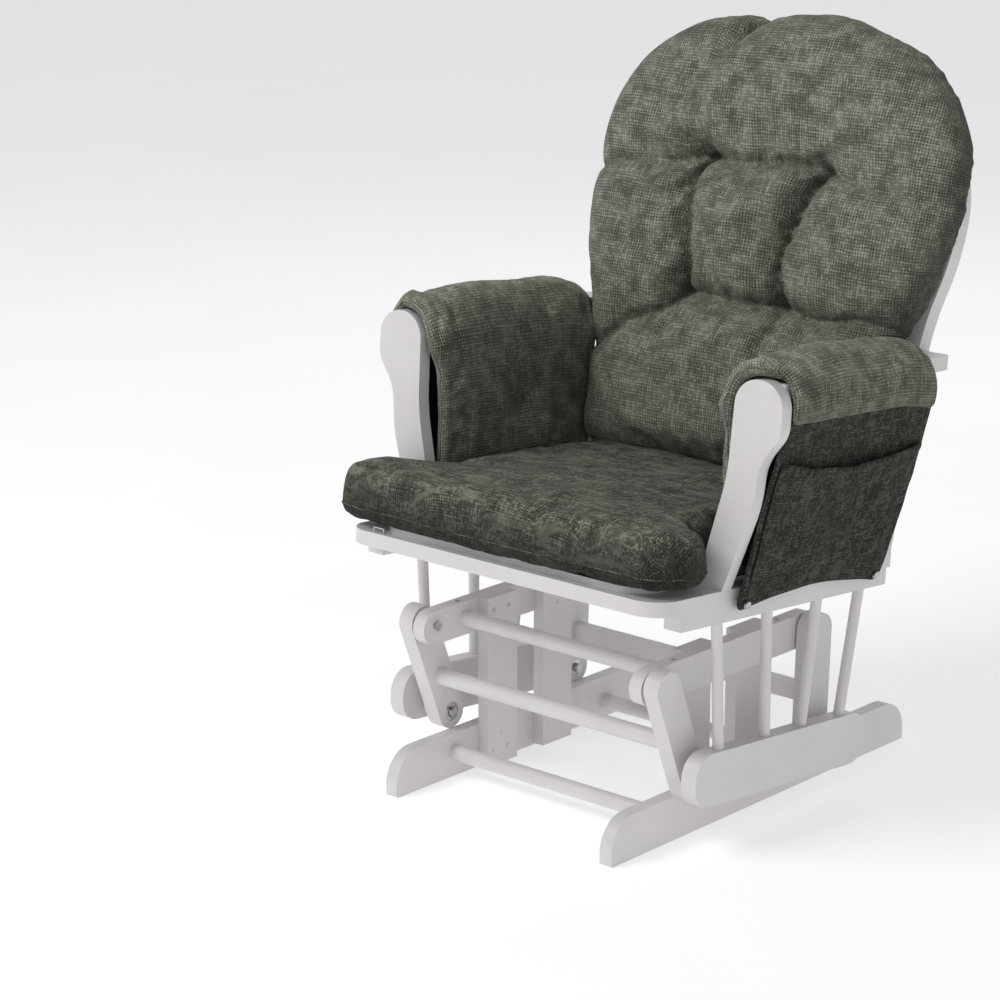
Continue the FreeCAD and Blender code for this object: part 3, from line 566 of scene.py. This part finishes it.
def wave(points, size, seed):
    """Smooth bumps of about the given size, from -1 to 1, fixed by the seed."""
    rng = np.random.default_rng(seed)
    total = np.zeros(len(points))
    for _ in range(7):
        angle, phase, scale = rng.uniform(0, 2 * math.pi), rng.uniform(0, 2 * math.pi), rng.uniform(0.7, 1.5)
        total += np.sin((points[:, 0] * math.cos(angle) + points[:, 1] * math.sin(angle))
                        * 2 * math.pi / (size * scale) + phase)
    return total / 4


def creases(points, lines, reach):
    """Depth of a net of sewn-in creases. Each line has points (a, b, depth), all in millimetres."""
    total = np.zeros(len(points))
    for line, width in lines:
        run = smooth_run(line) * MM
        gap, along = distance_to(points, run, closed=False)
        depth = np.interp(along, np.linspace(0, 1, len(run)), run[:, 2])
        total += (depth * groove(gap, reach * width)) ** 4
    return total ** 0.25


# ---------------------------------------------------------------- back cushion

TUFTS = [(-88, 497), (112, 496), (-88, 304), (80, 305)]
BACK_OUTLINE = [(-60, 58), (-180, 59), (-222, 68), (-235, 100), (-237, 150), (-251, 220), (-260, 262),
                (-272, 302), (-283, 346), (-290, 398), (-295, 472), (-285, 537), (-266, 584), (-238, 626),
                (-200, 654), (-152, 682), (-96, 698), (-58, 699), (-42, 689), (-24, 700), (38, 709),
                (97, 708), (159, 690), (217, 668), (257, 636), (292, 594), (313, 546), (317, 471),
                (306, 400), (292, 345), (268, 300), (248, 258), (238, 210), (237, 150), (235, 100),
                (222, 68), (180, 59), (60, 58)]
BACK_CREASES = [
    ([(-88, 497, 60), (-60, 494, 46), (-22, 491, 40), (25, 498, 38), (65, 501, 44), (112, 496, 60)], 1.0),
    ([(-88, 497, 60), (-101, 457, 34), (-118, 437, 24), (-126, 420, 12), (-132, 404, 3)], 0.6),
    ([(-88, 497, 60), (-96, 462, 38), (-98, 439, 34), (-96, 410, 34), (-90, 370, 36), (-84, 335, 42),
      (-88, 304, 56)], 0.9),
    ([(112, 496, 60), (93, 451, 48), (79, 411, 45), (66, 366, 45), (76, 328, 48), (80, 305, 56)], 1.0),
    ([(-88, 304, 56), (-28, 301, 36), (-3, 299, 34), (34, 298, 36), (80, 305, 56)], 0.9),
    ([(-88, 497, 56), (-143, 480, 34), (-178, 479, 28), (-207, 477, 26), (-273, 463, 20),
      (-295, 455, 15)], 0.9),
    ([(-88, 497, 56), (-116, 514, 28), (-143, 524, 16), (-181, 549, 4)], 0.6),
    ([(112, 496, 56), (150, 488, 27), (195, 479, 17), (260, 472, 13), (316, 468, 8)], 0.9),
    ([(-42, 689, 34), (-62, 666, 24), (-74, 642, 14), (-87, 626, 4)], 0.6),
    ([(-112, 644, 3), (-121, 593, 10), (-126, 556, 3)], 0.8),
    ([(-88, 304, 54), (-110, 273, 32), (-143, 256, 26), (-166, 246, 22), (-199, 221, 18),
      (-239, 206, 15)], 0.9),
    ([(-88, 304, 50), (-94, 263, 24), (-102, 238, 13), (-108, 200, 3)], 0.6),
    ([(80, 305, 56), (115, 296, 38), (153, 292, 32), (212, 301, 27), (266, 299, 20)], 0.9),
    ([(80, 305, 52), (84, 273, 24), (79, 253, 12), (76, 222, 3)], 0.6),
    ([(20, 200, 1), (60, 176, 5), (140, 168, 5), (190, 178, 1)], 0.8),
]


def make_back_cushion():
    outline = smooth_loop(BACK_OUTLINE[::-1], 6.0) * MM
    seam, full, rear = 50 * MM, 112 * MM, 27.5 * MM

    def over(p, gap):
        body = seam + (full - seam) * dome(gap, 0.075)
        crown = 8 * MM * np.clip(gap / 0.2, 0, 1)
        fold = 1.12 * creases(p, BACK_CREASES, 0.060) * dome(gap, 0.05)
        lumps = 1.5 * MM * wave(p, 0.16, 3) * dome(gap, 0.06)
        return body + crown - fold + lumps

    def under(p, gap):
        return seam - (seam - rear) * dome(gap, 0.03)

    pillow = Pillow(outline, 5.8 * MM, over, under, lambda p, h: back_place(p[:, 0], p[:, 1], h))
    near = np.min([np.linalg.norm(pillow.flat_all - np.array(t) * MM, axis=1) for t in TUFTS], axis=0)
    fold = creases(pillow.flat_all, BACK_CREASES, 0.03)
    pins = np.where(~pillow.upper, 1.0, np.where(near < 0.012, 1.0, np.clip(fold / 0.030, 0, 0.75)))
    pillow.inflate(4.0, 14 * MM, pins, slack=0.05)
    pillow.smooth(2, np.where(pillow.upper, np.clip(fold / 0.016, 0, 0.86), 0.5))
    cushion = pillow.build("back_pillow", [FABRIC], welt=1.8 * MM)
    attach(cushion, "seat")
    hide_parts("back_cushion")


# ---------------------------------------------------------------- seat cushion

SEAT_NEAR = [(220, 0), (250, 8), (268, 27), (277, 58), (274, 92), (262, 112), (240, 119), (229, 130),
             (225, 152), (225, 250), (225, 360), (224, 440), (212, 468), (180, 477)]
SEAT_FAR = [(-180, 477), (-212, 468), (-224, 440), (-225, 360), (-225, 250), (-225, 152), (-231, 132),
            (-252, 124), (-288, 118), (-304, 94), (-309, 54), (-301, 22), (-272, 6), (-225, 0)]
SEAT_CREASES = [
    ([(276, 44, 12), (256, 56, 7), (236, 70, 3), (214, 78, 1)], 0.5),
    ([(262, 110, 12), (240, 96, 8), (220, 92, 4), (196, 98, 1)], 0.6),
    ([(-302, 100, 9), (-270, 98, 5), (-238, 104, 2), (-214, 116, 1)], 0.6),
    ([(-224, 150, 7), (-190, 142, 3), (-160, 150, 1)], 0.6),
    ([(224, 148, 8), (196, 140, 5), (150, 150, 1)], 0.6),
    ([(60, -2, 6), (58, 20, 4), (56, 44, 1)], 0.3),
]


def make_seat_cushion():
    loop = [(-90, 478)] + SEAT_FAR + [(-120, -4), (0, -5), (120, -4)] + SEAT_NEAR + [(90, 478), (0, 478)]
    outline = smooth_loop(loop, 6.5) * MM
    seam, full, rest = 23 * MM, 80 * MM, 8.5 * MM

    def over(p, gap):
        body = seam + (full - seam) * boxed(gap, 0.042)
        crown = 7 * MM * np.clip(gap / 0.16, 0, 1)
        lumps = 2.2 * MM * wave(p, 0.17, 5) * dome(gap, 0.09)
        fold = creases(p, SEAT_CREASES, 0.04) * dome(gap, 0.03)
        return body + crown + lumps - fold

    def under(p, gap):
        return seam - (seam - rest) * dome(gap, 0.030)

    pillow = Pillow(outline, 7 * MM, over, under, lambda p, h: seat_place(p[:, 0], p[:, 1], h))
    pins = np.where(pillow.upper, 0.0, np.where(pillow.gap_all > 0.03, 1.0, 0.25))
    pins = np.where(pillow.gap_all == 0, 0.75, pins)
    pillow.inflate(3.0, 7 * MM, pins, slack=0.045)
    pillow.smooth(1, np.full(len(pillow.points), 0.3))
    # The seat wears the darker painted-shade copy of the weave.
    cushion = pillow.build("seat_pillow", [CRUSHED_SHADED], welt=1.6 * MM)
    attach(cushion, "seat")
    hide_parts("seat_cushion")


# ---------------------------------------------------------------- arm pads

PAD_PATH = [(250, 6), (250, 60), (249, 120), (249, 180), (251, 225), (257, 256), (269, 280), (288, 292),
            (309, 293), (330, 286), (343, 268), (347, 246), (345, 224)]
PAD_FRONTS = [(0, 160), (0.3, 157), (0.48, 148), (0.56, 131), (0.76, 128), (0.84, 153), (1, 153)]
PAD_REARS = [(0, 478), (0.4, 479), (0.6, 479), (1, 482)]
PAD_THICKNESS = [(0, 12), (0.1, 12.5), (0.45, 12.5), (0.6, 13.5), (0.8, 12), (0.92, 9), (1, 6)]
PAD_CREASES = [
    ([(40, 60, 1), (80, 52, 3), (250, 52, 5), (330, 50, 1)], 0.35),
    ([(135, 200, 9), (165, 185, 5), (215, 150, 1)], 0.4),
    ([(135, 200, 9), (120, 240, 4), (100, 290, 1)], 0.4),
    ([(135, 200, 9), (160, 225, 4), (210, 250, 1)], 0.4),
]
FLAP_TOP, FLAP_LOW = (342, 238), (281.5, -33)
FLAP_LENGTH = math.dist(FLAP_TOP, FLAP_LOW) * MM
FLAP_FRONT, FLAP_REAR = 153 * MM, 470 * MM
HEM_HEIGHTS = [(0, 176), (0.2, 164), (0.45, 157), (0.75, 162), (1, 170)]


def table(share, rows):
    """Millimetres read from rows of (share, value), as metres."""
    return np.interp(share, *zip(*rows)) * MM


def path_frame(path, a):
    """Point and outward normal of a path in (x, w) at each run length."""
    run = resample(smooth_run(path) * MM, 2 * MM, closed=False)
    length = np.concatenate([[0], np.cumsum(np.linalg.norm(np.diff(run, axis=0), axis=1))])
    tangent = np.gradient(run, axis=0)
    tangent /= np.linalg.norm(tangent, axis=1)[:, None]
    at = [np.interp(a, length, run[:, k]) for k in range(2)]
    t = [np.interp(a, length, tangent[:, k]) for k in range(2)]
    return np.stack(at, 1), np.stack([-t[1], t[0]], 1), length[-1]


def make_arm_pad():
    """The padded sleeve: inner panel, over the arm, down to the seam above the pocket panel."""
    _, _, length = path_frame(PAD_PATH, np.zeros(1))
    front, rear = 128 * MM, 499 * MM
    outline = rounded_box(0, length, 0, rear - front, 0.012, 6 * MM)

    def place(p, h):
        at, normal, _ = path_frame(PAD_PATH, p[:, 0])
        share = p[:, 0] / length
        start, end = table(share, PAD_FRONTS), table(share, PAD_REARS)
        v = start + p[:, 1] / (rear - front) * (end - start)
        lean = -7 * MM * np.clip((v - 0.151) / 0.33, 0, 1) * np.clip((share - 0.5) / 0.2, 0, 1)
        at[:, 1] -= 11 * MM * np.clip((v - 0.38) / 0.10, 0, 1) ** 2 * (share > 0.4)
        spot = at + normal * h[:, None]
        return seat_place(spot[:, 0] + lean, v, spot[:, 1])

    def thickness(p):
        return table(p[:, 0] / length, PAD_THICKNESS)

    dimple = np.array([0.135, 0.20])

    def over(p, gap):
        near = np.linalg.norm(p - dimple, axis=1)
        channel = 2.4 * MM * np.exp(-((gap - 0.013) / 0.0035) ** 2)
        pucker = 1.5 * MM * wave(p, 0.05, 11) * np.exp(-gap / 0.02)
        folds = creases(p, PAD_CREASES, 0.06)
        tuft = 8 * MM * np.exp(-(near / 0.022) ** 1.3)
        lumps = 1.8 * MM * wave(p, 0.14, 7)
        return thickness(p) * dome(gap, 0.014) - channel - tuft + (lumps + pucker - folds) * dome(gap, 0.02)

    def under(p, gap):
        return -thickness(p) * 0.88 * dome(gap, 0.012)

    pillow = Pillow(outline, 6.2 * MM, over, under, place)
    near = np.linalg.norm(pillow.flat_all - dimple, axis=1)
    pins = np.where(~pillow.upper, 1.0, np.where(near < 0.010, 1.0, 0.0))
    pins = np.where((pillow.gap_all < 0.016) & pillow.upper, 0.75, pins)
    pillow.inflate(2.5, 6 * MM, pins, slack=0.05)
    pillow.smooth(1, np.full(len(pillow.points), 0.4))
    return pillow


def flap_place(a, v, h):
    """Down the outer flap from its top, back along it and out from it, to the row frame."""
    share = np.clip(a / FLAP_LENGTH, 0, 1)
    lean = -3 * np.clip((v - 0.151) / 0.33, 0, 1) * (1 - np.clip(a / 0.16, 0, 1))
    x = FLAP_TOP[0] + (FLAP_LOW[0] - FLAP_TOP[0]) * share + lean
    w = FLAP_TOP[1] + (FLAP_LOW[1] - FLAP_TOP[1]) * share
    slope = math.atan2(FLAP_TOP[0] - FLAP_LOW[0], FLAP_TOP[1] - FLAP_LOW[1])
    return seat_place(x * MM + h * math.cos(slope), v, w * MM - h * math.sin(slope))


def flap_folds(a, v):
    """Soft folds of the hanging flap, none near its sewn top."""
    p = np.stack([a, v], 1)
    free = np.clip(a / 0.12, 0, 1)
    share = np.clip((v - FLAP_FRONT) / (FLAP_REAR - FLAP_FRONT), 0, 1)
    belly = -5 * MM * np.sin(math.pi * share) * np.sin(math.pi * np.clip(a / FLAP_LENGTH, 0, 1))
    return free * (1.7 * MM * wave(p, 0.13, 21) + 0.6 * MM * wave(p, 0.05, 22)) + belly


def flap_run(a, share):
    """How far the panel's rear edge stands back, most at its top."""
    down = np.clip(a / FLAP_LENGTH, 0, 1)
    return (17 * MM * (1 - down) + 6 * MM * np.sin(math.pi * down)) * share


def make_flap():
    """The pocket panel that hangs down the outer side, with bound edges."""
    width = FLAP_REAR - FLAP_FRONT
    outline = rounded_box(0, FLAP_LENGTH, 0, width, 0.016, 6 * MM)

    def place(p, h):
        share = np.clip(p[:, 1] / width, 0, 1)
        lift = 17 * MM * np.sin(math.pi * share) ** 0.8
        a = p[:, 0] - lift * np.clip((p[:, 0] - 0.12) / (FLAP_LENGTH - 0.12), 0, 1)
        v = FLAP_FRONT + p[:, 1] + flap_run(a, share)
        return flap_place(a, v, h + flap_folds(a, v) - 3.5 * MM)

    def half(p, gap):
        rim = 1.5 * MM * np.exp(-((gap - 0.004) / 0.004) ** 2)
        stitch = 1.1 * MM * np.exp(-((gap - 0.0105) / 0.0022) ** 2)
        return 3.4 * MM * dome(gap, 0.004) + rim - stitch

    return Pillow(outline, 5.5 * MM, half, lambda p, gap: -half(p, gap), place)


def make_pocket():
    """The patch sewn over the flap's lower part; its open top sags outwards."""
    width = 303 * MM
    foot, mouth = 0.012, 0.172
    outline = rounded_box(0, mouth, 0, width, 0.004, 5 * MM)

    def place(p, h):
        share = np.clip(p[:, 1] / width, 0, 1)
        rise = np.clip(p[:, 0] / mouth, 0, 1)
        hem = table(share, HEM_HEIGHTS)
        w = foot + rise * (hem - foot)
        a = (FLAP_TOP[1] * MM - w) / (FLAP_TOP[1] - FLAP_LOW[1]) / MM * FLAP_LENGTH
        v = 160 * MM + p[:, 1] + flap_run(a, share)
        gape = 12 * MM * np.sin(math.pi * share) ** 0.7 * rise ** 2.2
        fold = 1.2 * MM * wave(p, 0.09, 31) * np.sin(math.pi * share) * rise
        return flap_place(a, v, h + flap_folds(a, v) + 2.6 * MM + gape + fold)

    def half(p, gap):
        hem = 1.0 * MM * (p[:, 0] > mouth - 0.013)
        stitch = 0.7 * MM * np.exp(-((p[:, 0] - (mouth - 0.014)) / 0.002) ** 2)
        return 1.5 * MM * dome(gap, 0.003) + hem * dome(gap, 0.003) - stitch

    return Pillow(outline, 5 * MM, half, lambda p, gap: -half(p, gap), place)


def make_arm_covers():
    pad, flap, pocket = make_arm_pad(), make_flap(), make_pocket()
    for name, mirror in (("left", False), ("right", True)):
        # The sleeve wears the lighter painted-light copy of the weave.
        sleeve = pad.build("arm_sleeve_" + name, [LIT_SLEEVE, LINING], mirror, 1.6 * MM, 20 * MM)
        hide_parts("arm_pad_top_" + name, "arm_pad_inner_" + name)
        # The flap and pocket wear the darker painted-shade copy of the weave.
        panel = flap.build("arm_flap_" + name, [BRUSHED_SHADED, LINING], mirror, 1.6 * MM, 6 * MM)
        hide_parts("arm_pad_flap_" + name)
        patch = pocket.build("arm_pocket_" + name, [BRUSHED_SHADED], mirror)
        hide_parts("arm_pad_pocket_" + name)
        for piece in (sleeve, panel, patch):
            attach(piece, "seat")


# ---------------------------------------------------------------- stage

FLOOR_REACH = 14
FLOOR_GLOW = 0.42
SKY = {"From Min": 0.0, "From Max": 0.55, "To Min": 0.80, "To Max": 0.33}
LAMP_TARGET = Vector((0, 0, 0.5))
LAMPS = [("key", (-1.5, -2.9, 3.6), 78, 2.2), ("fill", (3.2, -2.6, 1.6), 12, 2.2),
         ("rim", (-1.5, 2.8, 2.6), 14, 2.0)]


def make_floor():
    n = Nodes("studio_floor")
    place = n.add("ShaderNodeTexCoord").outputs["Object"]
    base = n.mix(n.between(n.noise(place, 3, 2), 0.3, 0.7), (0.86, 0.86, 0.86), (0.88, 0.88, 0.88))
    floor_material = n.finish(Base_Color=base, Roughness=0.9, Specular_IOR_Level=0.1,
                              Emission_Color=(1, 1, 1), Emission_Strength=FLOOR_GLOW)
    mesh = bpy.data.meshes.new("floor")
    corners = [(x * FLOOR_REACH, y * FLOOR_REACH, 0) for x, y in ((-1, -1), (1, -1), (1, 1), (-1, 1))]
    mesh.from_pydata(corners, [], [(0, 1, 2, 3)])
    mesh.materials.append(floor_material)
    floor = bpy.data.objects.new("floor", mesh)
    scene.collection.objects.link(floor)


def make_world():
    """White light all round, dimmer from above than from the horizon."""
    world = bpy.data.worlds.new("studio")
    world.use_nodes = True
    tree = world.node_tree
    tree.nodes["Background"].inputs["Color"].default_value = (1, 1, 1, 1)
    direction = tree.nodes.new("ShaderNodeTexCoord").outputs["Generated"]
    split = tree.nodes.new("ShaderNodeSeparateXYZ")
    dim = tree.nodes.new("ShaderNodeMapRange")
    dim.interpolation_type = "SMOOTHSTEP"
    for key, value in SKY.items():
        dim.inputs[key].default_value = value
    tree.links.new(direction, split.inputs[0])
    tree.links.new(split.outputs["Z"], dim.inputs["Value"])
    tree.links.new(dim.outputs[0], tree.nodes["Background"].inputs["Strength"])
    scene.world = world
    scene.view_settings.view_transform = "Standard"


def make_lamps():
    for name, spot, power, size in LAMPS:
        light = bpy.data.lights.new(name, "AREA")
        light.energy, light.size = power, size
        lamp = bpy.data.objects.new(name, light)
        lamp.location = spot
        lamp.rotation_euler = (LAMP_TARGET - Vector(spot)).to_track_quat("-Z", "Y").to_euler()
        scene.collection.objects.link(lamp)


def make_camera():
    spot, target = Vector((2.6625, -3.3542, 1.5934)), Vector((-0.0303, -0.301, 0.4429))
    data = bpy.data.cameras.new("camera")
    data.sensor_width, data.lens = 36, 116.13
    camera = bpy.data.objects.new("camera", data)
    camera.location = spot
    camera.rotation_euler = (target - spot).to_track_quat("-Z", "Y").to_euler()
    scene.collection.objects.link(camera)
    scene.camera = camera


make_camera()
make_floor()
make_world()
make_lamps()
dress_frame()
make_back_cushion()
make_seat_cushion()
make_arm_covers()
bpy.context.view_layer.update()
